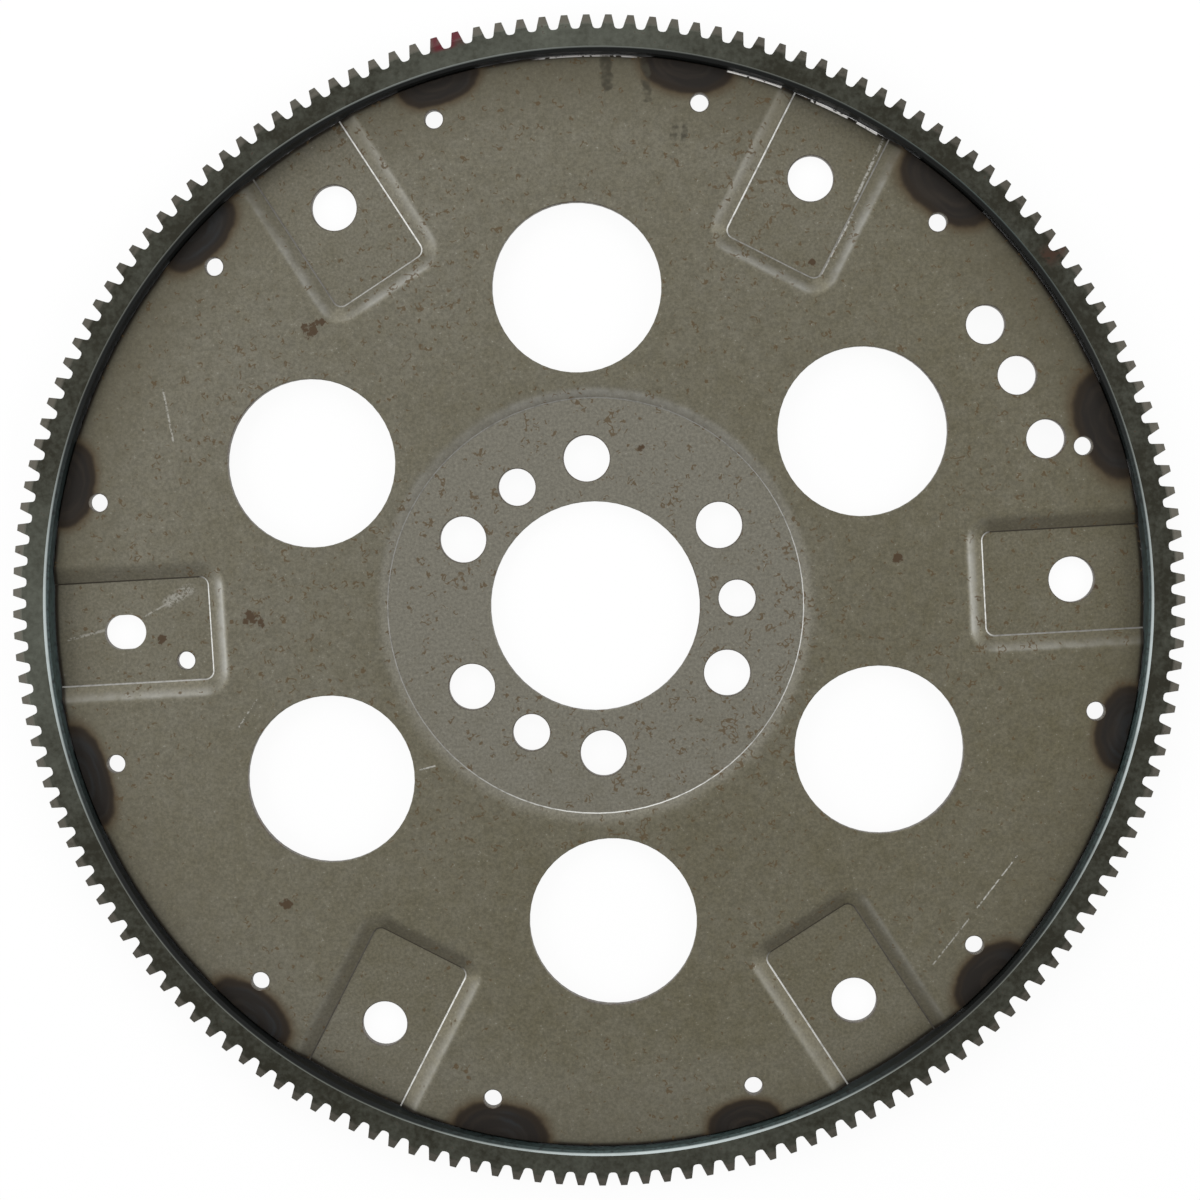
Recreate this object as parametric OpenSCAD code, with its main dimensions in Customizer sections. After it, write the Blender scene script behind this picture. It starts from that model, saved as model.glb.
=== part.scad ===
// Flexplate: a pressed steel disc with a toothed starter ring welded round it.
// Millimetres. +Z is the axis and points to the engine side; the converter pads rest on z = 0.
// The middle of one converter pad lies on +X.

/* [Disc] */
// Sheet thickness of the pressed disc
sheet_t = 2.8; // [2:0.1:4]
// Outer diameter of the disc
disc_d = 335.4; // [326:0.2:340]
// Break on the front corner of the rim and of every punched hole
edge_break = 0.3; // [0.1:0.05:0.6]

/* [Hub] */
// Diameter of the pilot bore
pilot_d = 64.4; // [50:0.2:70]
// Diameter of the flat hub floor
hub_d = 127.6; // [118:0.2:130]
// Depth of the hub floor below the front of the web
hub_depth = 1.4; // [1:0.1:2]
// Height of the sharp pressed edge round the hub floor
hub_edge_h = 0.3; // [0.1:0.05:0.4]
// Width of that edge
hub_edge_w = 0.3; // [0.2:0.05:0.6]
// Steepness of the hub's wall in degrees
hub_slope = 20; // [16:1:26]
// Radius of the soft shoulder round the hub
hub_shoulder = 8; // [5:0.5:9]
// Number of crank bolts
crank_count = 6; // [4:1:8]
// Bolt circle of the crank bolts
crank_pcd = 90.93; // [88:0.01:98]
// Diameter of the crank bolt holes
crank_hole_d = 14.2; // [9:0.1:15]
// Number of dowel holes
dowel_count = 3; // [1:1:3]
// Pitch circle of the dowel holes
dowel_pcd = 87.4; // [84:0.1:98]
// Diameter of the dowel holes
dowel_d = 11.4; // [6:0.1:12]

/* [Lightening holes] */
// Place of the lightening holes' middles, as a share of the way from the hub floor's edge to the rim
light_place = 0.325; // [0.31:0.001:0.38]
// Diameter of the lightening holes
light_d = 51.7; // [30:0.1:53]

/* [Converter pads] */
// Number of converter pads
pad_count = 6; // [3:1:6]
// Distance from the rim to the converter bolt circle
pad_inset = 21.65; // [17:0.05:26]
// Width of a pad's flat floor
pad_w = 31.4; // [24:0.2:34]
// Length of a pad's floor, from its inner end to the rim
pad_len = 48.2; // [44:0.1:51]
// Depth of a pad's floor below the front of the web
pad_depth = 3.1; // [2.4:0.1:4.2]
// Height of the sharp pressed edge round a pad's floor
pad_edge_h = 0.55; // [0.2:0.05:0.7]
// Width of that edge
pad_edge_w = 0.45; // [0.2:0.05:0.8]
// Steepness of a pad's walls in degrees
pad_slope = 28; // [24:1:40]
// Radius of the soft shoulder round a pad
pad_shoulder = 5; // [4.4:0.1:6]
// Corner radius of a pad's floor
pad_corner = 2.4; // [1.6:0.1:4]
// Diameter of the converter bolt holes
pad_hole_d = 13.9; // [9:0.1:15]
// Which pad has a slot in place of its round hole, counted anticlockwise from +X
slot_pad = 3; // [0:1:5]
// Width of that slot
slot_w = 10.7; // [8:0.1:12]
// End-to-end length of that slot, along the radius
slot_len = 12.9; // [12.4:0.1:18]
// Distance from the rim to the spare locating hole in the slotted pad
spare_inset = 39.6; // [36:0.1:42]
// Angle of the spare locating hole from the middle of its pad
spare_angle = 4.4; // [0:0.1:5]

/* [Small holes] */
// Distance from the rim to the locating holes beside the welds
locate_inset = 11.4; // [9:0.1:14]
// Diameter of the locating holes
locate_d = 5.5; // [3:0.1:7]
// Distance from the rim to the drilled balance holes
balance_inset = 21.3; // [20:0.1:24]
// Diameter of the drilled balance holes
balance_d = 11.8; // [8:0.1:13]
// Angle of the first balance hole
balance_a1 = 17.2; // [16:0.1:18]
// Angle of the second balance hole
balance_a2 = 25.5; // [24:0.1:26]
// Angle of the third balance hole
balance_a3 = 32.6; // [32:0.1:38]

/* [Ring gear] */
// Number of teeth
teeth = 168; // [140:1:172]
// Thickness of the ring between its bore and the roots of its teeth
ring_wall = 6.5; // [5:0.1:9]
// Depth of the teeth
tooth_depth = 4.4; // [3.4:0.1:4.8]
// Width of the flat land on a tooth's tip
tooth_land = 1.95; // [1.2:0.05:2.2]
// Lean of a tooth's flanks in degrees
tooth_lean = 14.5; // [10:0.5:17]
// Radius in the corners of a tooth's root
tooth_root_r = 0.9; // [0.4:0.1:1]
// Turn of the ring on the disc, to the middle of the first tooth
tooth_turn = 1.79; // [0:0.01:2.5]
// Width of the ring along the axis
ring_w = 9.6; // [9.4:0.1:10.6]
// Height of the ring's front face above the front of the web
ring_proud = 5; // [4.4:0.1:5.2]
// Radial gap between the disc's rim and the ring's bore
rim_gap = 0.3; // [0.2:0.05:0.9]
// Bevel on the front edge of the ring's bore
bore_bevel = 1.3; // [0.3:0.1:1.6]
// Height of the lead-in bevel on the front of the teeth
lead_in_h = 1.2; // [0.6:0.1:1.8]
// Radial length of the lead-in bevel
lead_in_len = 3; // [2:0.1:3.3]
// Bevel on the rear corner of the teeth
rear_bevel = 0.4; // [0.2:0.1:0.8]

/* [Welds] */
// Length of a weld bead
weld_len = 25; // [16:0.5:28]
// Leg of a weld bead on the ring and on the disc
weld_leg = 1.8; // [1.2:0.1:1.8]
// Depth of the ripples along a bead
weld_ripple = 0.25; // [0.05:0.05:0.4]
// Number of ripples along a bead
weld_ripples = 9; // [5:1:12]
// How far a run of beads sits to one side of its locating holes, in degrees
weld_drift = 1.5; // [0:0.1:1.6]

/* [Hidden] */
// Facets round a hole, and round the disc and the ring
$fn = 96;
round_fn = 240;

// Heights, from the resting plane of the pads up
pad_front = sheet_t;
web_front = pad_front + pad_depth;
web_rear = web_front - sheet_t;
hub_front = web_front - hub_depth;
ring_front = web_front + ring_proud;
ring_rear = ring_front - ring_w;

// Radii
disc_r = disc_d / 2;
pilot_r = pilot_d / 2;
hub_r = hub_d / 2;
light_r = hub_r + light_place * (disc_r - hub_r);
pad_r = disc_r - pad_inset;
pad_in = disc_r - pad_len;
spare_r = disc_r - spare_inset;
locate_r = disc_r - locate_inset;
balance_r = disc_r - balance_inset;
ring_bore_r = disc_r + rim_gap;
root_r = ring_bore_r + ring_wall;
tip_r = root_r + tooth_depth;

// Sharp pressed edges, as a step out from the floor and up
hub_edge = [hub_edge_w, hub_edge_h];
pad_edge = [pad_edge_w, pad_edge_h];

// Patterns: a lightening hole and two welds lie between each two pads
pad_step = 360 / pad_count;
half_step = pad_step / 2;
weld_count = 2 * pad_count;
// Beads in one run, laid to the same side of their locating holes
weld_run = pad_count / 2;

// How far a cutter reaches past the faces that it cuts
over = 1;
// How far the pieces of one pressed form overlap before they are joined
lap = 1.5;
// How far a pressed form reaches into the sheet that it is joined to
bite = 0.25;
// Slope, in degrees, at which a shoulder runs out into the web
run_out = 8;
// Steps in a rounded stretch of a pressed profile, of a tooth's root corner and of a bead's section
arc_steps = 6;
root_steps = 2;
bead_steps = 3;
// Share of its leg that a bead loses towards its ends
bead_taper = 0.6;

steel = [0.40, 0.39, 0.33];
oxide = [0.20, 0.21, 0.19];
weld_metal = [0.28, 0.26, 0.25];

weld_names = [for (k = [1:weld_count]) str("weld_", k < 10 ? "0" : "", k)];

// A point at a distance and an angle
function polar(r, a) = [r * cos(a), r * sin(a)];

// Points on a round stretch
function arc(centre, r, from, to, steps) =
    [for (i = [0:steps]) centre + polar(r, from + (to - from) * i / steps)];

// Middle of a shoulder's curve, measured out from the foot of the slope and up from the floor
function shoulder_centre(depth, slope, shoulder) =
    let (rise = depth - shoulder * (1 - cos(slope)))
    [rise / tan(slope) + shoulder * sin(slope), depth - shoulder];

// A pressed wall in section, from the floor's sharp edge up the slope to the shoulder, where it fades out.
// skin is the depth below the front of the sheet: 0 on its front, the sheet's thickness on its rear.
function wall(depth, slope, shoulder, edge, skin, fade) =
    let (foot = [edge[0] - edge[1] / tan(slope), 0])
    let (centre = foot + shoulder_centre(depth, slope, shoulder))
    concat(
        skin > 0 ? arc(foot, skin, -90, slope - 90, arc_steps) : [[0, 0], edge],
        arc(centre, shoulder - skin, 90 + slope, 90 + fade, arc_steps));

// The point at which a wall that fades to the run-out slope reaches a height
function reach(points, height) =
    let (last = points[len(points) - 1])
    [last[0] + (height - last[1]) / tan(run_out), height];

// Moves the points of a section out from the axis and up
function moved(points, out, up) = [for (p = points) p + [out, up]];

// A wall's section, closed inside the floor's edge and at a height above the floor
function closed_section(points, height) = concat(
    [[-lap, points[0][1]]],
    points,
    [reach(points, height), [-lap, height]]);

// Sweeps a wall's section round the inner end and both sides of a pad, with a solid floor inside it
module pad_form(section) {
    low = section[0][1];
    tall = section[len(section) - 1][1] - low;
    side = pad_w / 2;
    corner_x = pad_in + pad_corner;
    corner_y = side - pad_corner;
    run = disc_r + 3 * over - corner_x;
    for (flip = [0, 1]) mirror([0, flip, 0]) {
        translate([corner_x, side, 0]) rotate([90, 0, 90]) linear_extrude(run) polygon(section);
        translate([corner_x, corner_y, 0]) rotate([0, 0, 90])
            rotate_extrude(angle = 90) polygon(moved(section, pad_corner, 0));
        translate([corner_x, corner_y, low]) cylinder(r = pad_corner, h = tall);
    }
    translate([pad_in, 0, 0]) mirror([1, 0, 0]) rotate([90, 0, 0])
        linear_extrude(2 * corner_y, center = true) polygon(section);
    translate([pad_in, -corner_y, low]) cube([run + pad_corner, 2 * corner_y, tall]);
    translate([corner_x, -side, low]) cube([run, pad_w, tall]);
}

// The metal that a pad adds behind the sheet
module pad_boss() {
    points = wall(pad_depth, pad_slope, pad_shoulder, pad_edge, sheet_t, run_out);
    pad_form(closed_section(points, pad_depth - sheet_t + bite));
}

// The hollow that a pad leaves in front of the sheet
module pad_hollow() {
    points = wall(pad_depth, pad_slope, pad_shoulder, pad_edge, 0, run_out);
    pad_form(closed_section(points, pad_depth + bite));
}

// Sets its children on every pad, with the pad's front floor at height 0
module on_pads() {
    for (k = [0:pad_count - 1])
        rotate([0, 0, k * pad_step]) translate([0, 0, pad_front]) children();
}

// A hole punched from the front, with its front corner broken
module punched(d, front) {
    translate([0, 0, -over]) cylinder(d = d, h = front + 2 * over);
    translate([0, 0, front - edge_break])
        cylinder(d1 = d, d2 = d + 2 * (edge_break + over), h = edge_break + over);
}

// A punched hole at a radius and an angle
module punched_at(r, a, d, front) {
    rotate([0, 0, a]) translate([r, 0, 0]) punched(d, front);
}

// Punched holes evenly spaced on a circle
module punched_ring(count, r, d, front, start) {
    for (k = [0:count - 1]) punched_at(r, start + k * 360 / count, d, front);
}

// The slot that takes the place of one converter bolt hole
module slot() {
    half = (slot_len - slot_w) / 2;
    tall = pad_front + 2 * over;
    translate([pad_r, 0, -over]) {
        for (side = [-1, 1]) translate([side * half, 0, 0]) cylinder(d = slot_w, h = tall);
        translate([-half, -slot_w / 2, 0]) cube([2 * half, slot_w, tall]);
    }
}

// Section of the sheet before its pads: dished hub and flat web, out past the rim
module sheet_section() {
    front = wall(hub_depth, hub_slope, hub_shoulder, hub_edge, 0, 0);
    rear = wall(hub_depth, hub_slope, hub_shoulder, hub_edge, sheet_t, 0);
    polygon(concat(
        [[pilot_r, hub_front - sheet_t]],
        [[pilot_r, hub_front - edge_break], [pilot_r + edge_break, hub_front]],
        moved(front, hub_r, hub_front),
        [[disc_r + 2 * over, web_front], [disc_r + 2 * over, web_rear]],
        moved([for (i = [len(rear) - 1:-1:0]) rear[i]], hub_r, hub_front)));
}

// Section of the space inside the trimmed rim, with the rim's front corner broken
module rim_section() {
    polygon([
        [0, -over],
        [disc_r, -over],
        [disc_r, web_front - edge_break],
        [disc_r - edge_break - over, web_front + over],
        [0, web_front + over]]);
}

// All holes through the disc but the pilot bore
module disc_holes() {
    punched_ring(crank_count, crank_pcd / 2, crank_hole_d, hub_front, half_step);
    punched_ring(dowel_count, dowel_pcd / 2, dowel_d, hub_front, 0);
    punched_ring(pad_count, light_r, light_d, web_front, half_step);
    punched_ring(weld_count, locate_r, locate_d, web_front, half_step / 2);
    for (a = [balance_a1, balance_a2, balance_a3]) punched_at(balance_r, a, balance_d, web_front);
    for (k = [0:pad_count - 1]) {
        if (k == slot_pad) rotate([0, 0, k * pad_step]) slot();
        else punched_at(pad_r, k * pad_step, pad_hole_d, pad_front);
    }
    punched_at(spare_r, slot_pad * pad_step + spare_angle, locate_d, pad_front);
}

// The sheet with its pads pressed in, trimmed to the rim, then punched
module flex_plate() {
    color(steel) difference() {
        intersection() {
            difference() {
                union() {
                    rotate_extrude($fn = round_fn) sheet_section();
                    on_pads() pad_boss();
                }
                on_pads() pad_hollow();
            }
            rotate_extrude($fn = round_fn) rim_section();
        }
        disc_holes();
    }
}

// Half of a tooth from its tip's corner to the root, as points [distance from its middle, height]
function half_tooth() =
    let (foot = tooth_land / 2 + tooth_depth * tan(tooth_lean))
    let (centre = [foot + tooth_root_r * (1 - sin(tooth_lean)) / cos(tooth_lean), tooth_root_r])
    concat([[tooth_land / 2, tooth_depth]], arc(centre, tooth_root_r, 180 + tooth_lean, 270, root_steps));

// Wraps a tooth's point onto the root circle, to one side of the tooth's middle
function wrapped(p, middle, side) =
    let (r = root_r + p[1])
    polar(r, middle + side * p[0] / r * 180 / PI);

// Outline of all the teeth, anticlockwise
function tooth_outline() =
    let (half = half_tooth(), last = len(half) - 1)
    [for (k = [0:teeth - 1])
        let (middle = tooth_turn + k * 360 / teeth)
        each concat(
            [for (i = [last:-1:0]) wrapped(half[i], middle, -1)],
            [for (i = [0:last]) wrapped(half[i], middle, 1)])];

// Section of the ring blank: bevelled bore, lead-in on the front of the teeth, small bevel behind them
module ring_section() {
    lead_in_drop = over * lead_in_h / lead_in_len;
    polygon([
        [ring_bore_r, ring_rear],
        [tip_r - rear_bevel, ring_rear],
        [tip_r + over, ring_rear + rear_bevel + over],
        [tip_r + over, ring_front - lead_in_h - lead_in_drop],
        [tip_r - lead_in_len, ring_front],
        [ring_bore_r + bore_bevel, ring_front],
        [ring_bore_r, ring_front - bore_bevel]]);
}

module ring_gear() {
    color(oxide) intersection() {
        translate([0, 0, ring_rear]) linear_extrude(ring_w) polygon(tooth_outline());
        rotate_extrude($fn = round_fn) ring_section();
    }
}

// Leg of a bead at a step along it: rippled, and smaller towards both ends
function bead_leg(i) =
    (weld_leg - (i % 2 == 0 ? weld_ripple : 0)) * (1 - bead_taper * pow(abs(i / weld_ripples - 1), 6));

// A bead's section in the corner between the ring's bore and the disc's rear, as points [radius, height]
function bead_section(i) =
    moved(concat([[0, 0]], arc([0, 0], bead_leg(i), 180, 270, bead_steps)), ring_bore_r, web_rear);

// One bead, swept along its corner from section to section
module weld_bead(k) {
    side = floor(k / weld_run) % 2 == 0 ? 1 : -1;
    middle = half_step / 2 + k * 360 / weld_count + side * weld_drift;
    span = weld_len / ring_bore_r * 180 / PI;
    steps = 2 * weld_ripples;
    sides = bead_steps + 2;
    points = [for (i = [0:steps])
        let (a = middle + span * (i / steps - 0.5))
        for (p = bead_section(i)) concat(polar(p[0], a), p[1])];
    skin = [for (i = [0:steps - 1], j = [0:sides - 1])
        let (here = i * sides, next = (j + 1) % sides)
        each [
            [here + j, here + sides + j, here + next],
            [here + next, here + sides + j, here + sides + next]]];
    ends = [[for (j = [0:sides - 1]) j], [for (j = [sides - 1:-1:0]) steps * sides + j]];
    color(weld_metal) polyhedron(points, concat(skin, ends));
}

flex_plate();
ring_gear();
for (k = [0:weld_count - 1]) weld_bead(k);
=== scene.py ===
"""Dresses the flexplate: a rusty pressed disc with heat marks, its dark starter ring, weld beads, a stage."""

import math
from types import SimpleNamespace

import bmesh
import bpy
from bpy.props import FloatProperty, FloatVectorProperty, PointerProperty
from mathutils import Matrix, Vector


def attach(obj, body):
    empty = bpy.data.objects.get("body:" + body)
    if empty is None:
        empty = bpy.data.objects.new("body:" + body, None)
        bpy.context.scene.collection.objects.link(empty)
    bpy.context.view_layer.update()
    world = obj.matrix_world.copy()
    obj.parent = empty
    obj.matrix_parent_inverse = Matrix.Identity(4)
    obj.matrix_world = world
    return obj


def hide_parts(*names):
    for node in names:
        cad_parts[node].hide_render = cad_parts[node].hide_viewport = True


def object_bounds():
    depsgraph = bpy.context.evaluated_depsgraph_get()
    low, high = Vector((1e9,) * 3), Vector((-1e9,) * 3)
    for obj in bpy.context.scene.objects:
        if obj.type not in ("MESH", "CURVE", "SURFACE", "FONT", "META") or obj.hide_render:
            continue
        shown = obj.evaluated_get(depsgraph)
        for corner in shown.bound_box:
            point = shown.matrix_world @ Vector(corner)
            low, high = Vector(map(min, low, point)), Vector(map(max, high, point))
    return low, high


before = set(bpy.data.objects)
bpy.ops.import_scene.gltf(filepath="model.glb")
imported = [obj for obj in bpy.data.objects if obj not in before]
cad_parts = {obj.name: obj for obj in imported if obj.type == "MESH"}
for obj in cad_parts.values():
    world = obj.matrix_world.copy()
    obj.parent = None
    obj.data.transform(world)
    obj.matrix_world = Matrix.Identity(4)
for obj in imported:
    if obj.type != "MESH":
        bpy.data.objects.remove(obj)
CAD_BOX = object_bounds()

bl_info = {
    "name": "Flexplate",
    "version": (1, 0, 0),
    "blender": (4, 5, 0),
    "location": "View3D > Sidebar > Flexplate",
    "description": "Dresses a pressed steel drive disc with its welded starter ring",
    "category": "Object",
}

MM = 0.001
WELD_NODES = sorted(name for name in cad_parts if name.startswith("weld_"))

# Rust spots on the disc: x and y of the middle, radius, all in millimetres
RUST_SPOTS = (
    (-106.4, 2.4, 3.8), (-102.8, 0.6, 2.4), (-134.8, -2.6, 2.3), (-100.7, -87.2, 3.0), (93.2, 9.6, 2.4),
    (-82.3, 89.5, 3.6), (-79.0, 91.5, 2.4), (153.0, -2.6, 1.8), (17.0, 47.5, 2.0), (72.0, 101.0, 1.8),
)
# Strokes on the disc: x and y of both ends and the width, in millimetres, then the strength
SCRATCHES = (
    (96.6, -117.0, 110.0, -101.5, 0.30, 0.30), (112.0, -99.0, 124.9, -83.7, 0.30, 0.45),
    (-128.7, 73.9, -126.6, 58.0, 0.45, 0.25), (-56.8, -47.4, -52.1, -46.4, 0.35, 0.40),
    (-112.0, -31.0, -106.0, -23.0, 0.35, 0.28), (-164.0, -1.4, -152.4, 1.0, 0.60, 0.16),
    (-140.0, 4.5, -133.0, 7.8, 0.40, 0.18), (-132.0, 8.6, -125.5, 12.2, 2.40, 0.17),
    (95.5, 136.7, 86.0, 119.0, 0.60, 0.32), (85.0, 114.5, 74.4, 96.9, 0.50, 0.40),
)
SMUDGES = (
    (12.5, 167.0, 12.8, 158.0, 2.8, 0.80), (24.6, 164.0, 24.9, 153.0, 2.0, 0.60),
    (32.8, 146.4, 31.4, 138.6, 1.8, 0.50), (36.0, 145.7, 35.0, 139.5, 1.4, 0.40),
)
# Heat marks from 15 degrees on, each 30 further: turn in degrees, half length and depth in millimetres
HEAT_MARKS = (
    (1.1, 15.4, 10.6), (2.0, 15.0, 9.9), (2.1, 13.8, 8.7), (-1.5, 11.9, 7.5),
    (-1.4, 13.0, 8.0), (-1.1, 13.0, 8.7), (0.5, 15.2, 8.0), (1.6, 13.8, 8.7),
    (1.6, 13.8, 10.1), (-2.0, 11.1, 7.7), (-1.5, 12.6, 8.4), (-1.1, 12.3, 9.4),
)
# What the full range of a colour channel stands for in the table of heat marks: degrees and millimetres
TURN_RANGE = 10
SIZE_RANGE = 20

# Where a layer on the disc starts and where it is full, in millimetres
# PALE_RADII and PALE_YS: a painted highlight, paler low on the rim
PALE_RADII = (136.0, 154.0)
PALE_YS = (-150.0, -60.0)
# Darker and browner towards the rim
DARKENING_RADII = (146.0, 174.0)
DARKENING_YS = (-120.0, 90.0)
DARKENING_ZS = (3.0, 5.5)
RUSTY_RADII = (75.0, 110.0)
RUSTY_YS = (-90.0, 20.0)
# The same for bands along the rim, by the distance inside it, and for the slits, by the depth below the face
# Painted shade next to the ring, a painted shadow line along the rim, painted light in the slits, painted
# shade on the rim's cut edge
GAP_SHADE_BAND = (2.2, 0.3)
SHADOW_LINE_BAND = (1.3, 0.5)
SLIT_BAND = (0.8, 0.65)
EDGE_BAND = (0.5, 0.4)
SLIT_DEPTHS = (0.45, 0.3)

# Stretches of the rim and the ring: middle and half length in degrees, share that fades, strength
# Painted light through the gap at the rim on the slit stretches
WEB_SLITS = ((69.5, 3.5, 0.1, 1.0), (87.5, 6.0, 0.3, 0.5))
PAD_SLITS = ((61.5, 2.2, 0.1, 1.0), (57.1, 1.3, 0.1, 1.0))
# Painted reflections on the ring's turned face
LIT_FACE = ((90, 26, 1.0, 1.0), (180, 26, 1.0, 1.0), (272, 45, 1.0, 0.35))
# Painted highlights on the bore's bevel and wall; a painted highlight on the bevel at the top; painted shade
# on it at the upper right
LIT_BEVEL = ((348, 36, 1.0, 1.0), (180, 27, 1.0, 1.0), (274, 34, 1.0, 1.0))
PALE_BEVEL = ((104, 34, 1.0, 1.0),)
SHADED_BEVEL = ((42, 30, 1.0, 0.7),)

# Painted highlight and painted shade on a pressed form, on each side, by the pad's angle: inner end, +side
# and -side.
# First the painted highlight on the floor's sharp burnished edge, then the burnished shoulder's painted
# highlight, then the painted shade on the wall between them
PAD_STEP = 60
SHINE = {0: (1.0, 0.0, 0.25), 60: (0.3, 0.95, 0.25), 120: (0.45, 0.15, 1.0),
         180: (1.0, 0.38, 0.0), 240: (0.0, 0.85, 0.05), 300: (0.0, 0.05, 0.6)}
SHOULDER_HIGHLIGHT = {0: (0.70, 0.0, 0.35), 60: (0.50, 0.28, 0.55), 120: (0.55, 0.50, 0.35),
          180: (0.70, 0.45, 0.0), 240: (0.0, 0.36, 0.10), 300: (0.0, 0.25, 0.30)}
SLOPE_SHADE = {0: (0.10, 0.45, 0.14), 60: (0.12, 0.18, 0.12), 120: (0.12, 0.16, 0.12),
        180: (0.10, 0.14, 0.25), 240: (0.45, 0.20, 0.40), 300: (0.45, 0.35, 0.22)}
CORNER_FADE = 3
# Painted highlight and painted shade on the hub's wall, most at the picture's top, then the painted highlight
# on its
# edge: least shine, gain, and glints with their directions in degrees, narrowness and strength
HUB_HIGHLIGHT = 0.3
HUB_SHADE = 0.35
HUB_NARROWNESS = 1.5
HUB_SHINE = 0.30
HUB_GAIN = 0.55
HUB_GLINTS = ((-80, 4, 1.0), (-8, 6, 0.8))

# Joining a node's loose triangles, in metres, and the angles past which an edge stays sharp, in degrees
SEAM = 2e-6
SLIVER = 1e-7
DISC_SHARP = 24
BEAD_SHARP = 62

# The disc's faces are told apart by how far their normals point up and by their radius in metres
WALL_UP = (-0.1, 0.1)
HOLE_EDGE_UP = (0.69, 0.72)
RIM_EDGE_UP = (0.66, 0.76)
PAD_EDGE_UP = (0.61, 0.66)
HUB_EDGE_UP = (0.68, 0.74)
SLOPE_UP = (0.86, 0.9995)
HUB_EDGE_AT = (0.0635, 0.0645)
HUB_ENDS_AT = 0.08
PAD_SLOPES_START_AT = 0.10
PAD_EDGES_START_AT = 0.11
RIM_EDGE_AT = 0.1672

# Stage: the floor's half side and its drop below the part in metres, its glow, the camera's sensor in
# millimetres, and the lamps with their places, sides and the names of their powers
FLOOR_REACH = 150.0
FLOOR_DROP = 0.0002
FLOOR_GLOW = 0.93
SENSOR_WIDTH = 36.0
LAMPS = (("key_lamp", (-0.2, 1.15, 0.9), 0.9, "key"),
         ("left_lamp", (-1.1, 0.05, 0.75), 0.7, "side"),
         ("right_lamp", (1.1, 0.05, 0.75), 0.7, "side"))


# Colours and numbers

def linear(r, g, b):
    """A colour as seen on screen, 0 to 255, as scene-linear."""
    def one(c):
        c /= 255
        return c / 12.92 if c <= 0.04045 else ((c + 0.055) / 1.055) ** 2.4
    return (one(r), one(g), one(b))


def rgba(colour):
    return (*colour, 1.0)


def scaled(colour, factor):
    return tuple(factor * channel for channel in colour)


def within(value, limits):
    return limits[0] < value < limits[1]


def colour_property(name, description, seen):
    return FloatVectorProperty(name=name, description=description, subtype="COLOR", size=3, min=0, max=1,
                               default=linear(*seen))


def length_property(name, description, default):
    return FloatProperty(name=name, description=description, unit="LENGTH", default=default)


class DiscFinish(bpy.types.PropertyGroup):
    """Finish of the pressed disc."""
    steel: colour_property("Steel", "Colour of the bare sheet", (118, 115, 104))
    # Colour of the painted shade at the lower right, also of the darker clouds
    steel_dark: colour_property("Shaded steel", "Colour of the sheet under painted shade at the lower right", (97, 92, 73))
    # The sheet turns towards this colour near the rim
    rim_brown: colour_property("Rim darkening", "Colour of the brown film near the rim", (82, 77, 61))
    rust: colour_property("Rust", "Colour of the rust specks", (80, 63, 38))
    rust_dark: colour_property("Dark rust", "Colour of the larger rust spots", (66, 50, 32))
    # Also used for the painted shade next to the ring
    soot_and_shade: colour_property("Soot", "Colour of the dark smudges", (58, 55, 45))
    heat: colour_property("Heat mark", "Colour inside a heat mark", (25, 20, 15))
    heat_arc: colour_property("Heat arcs", "Colour of the faint arcs inside a heat mark", (52, 44, 35))
    heat_blue: colour_property("Heat tint", "Colour of the bluish arcs inside a heat mark", (42, 48, 52))
    # Also used for the painted shadow along the rim and on its cut edge
    heat_line_and_shadow: colour_property("Dark line", "Colour of the line round a heat mark and the rim", (27, 20, 14))
    heat_halo: colour_property("Heat halo", "Colour of the brown fringe round a heat mark", (70, 57, 38))
    # Painted highlight on the pressed edges, also the scratches
    bright: colour_property("Bright edge", "Colour of painted highlights on pressed edges, and of scratches", (240, 240, 236))
    # Painted highlight on the pressed shoulders, also the pale specks of the grain
    burnish_and_highlight: colour_property("Burnish and highlight", "Colour of the rubbed pressed shoulders", (168, 168, 163))
    # Painted shade on pressed edges and on the slope walls
    edge_shade: colour_property("Edge shade", "Colour of painted shade on pressed edges and slope walls", (64, 58, 48))
    cut: colour_property("Cut edge", "Colour of the punched walls of the holes", (104, 98, 88))
    # Colour of the painted light that comes through the gap at the rim
    slit: colour_property("Slit", "Colour of the pale dashes along the rim", (250, 247, 243))
    rim_radius: length_property("Rim", "Radius of the disc's rim", 0.1677)
    hub_radius: length_property("Hub", "Radius of the hub's floor", 0.0638)
    web_height: length_property("Web", "Height of the disc's front face", 0.0059)
    pad_height: length_property("Pad", "Height of a pad's floor", 0.0028)
    roughness: FloatProperty(name="Roughness", description="Roughness of the sheet", default=0.46,
                             min=0, max=1)


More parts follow.
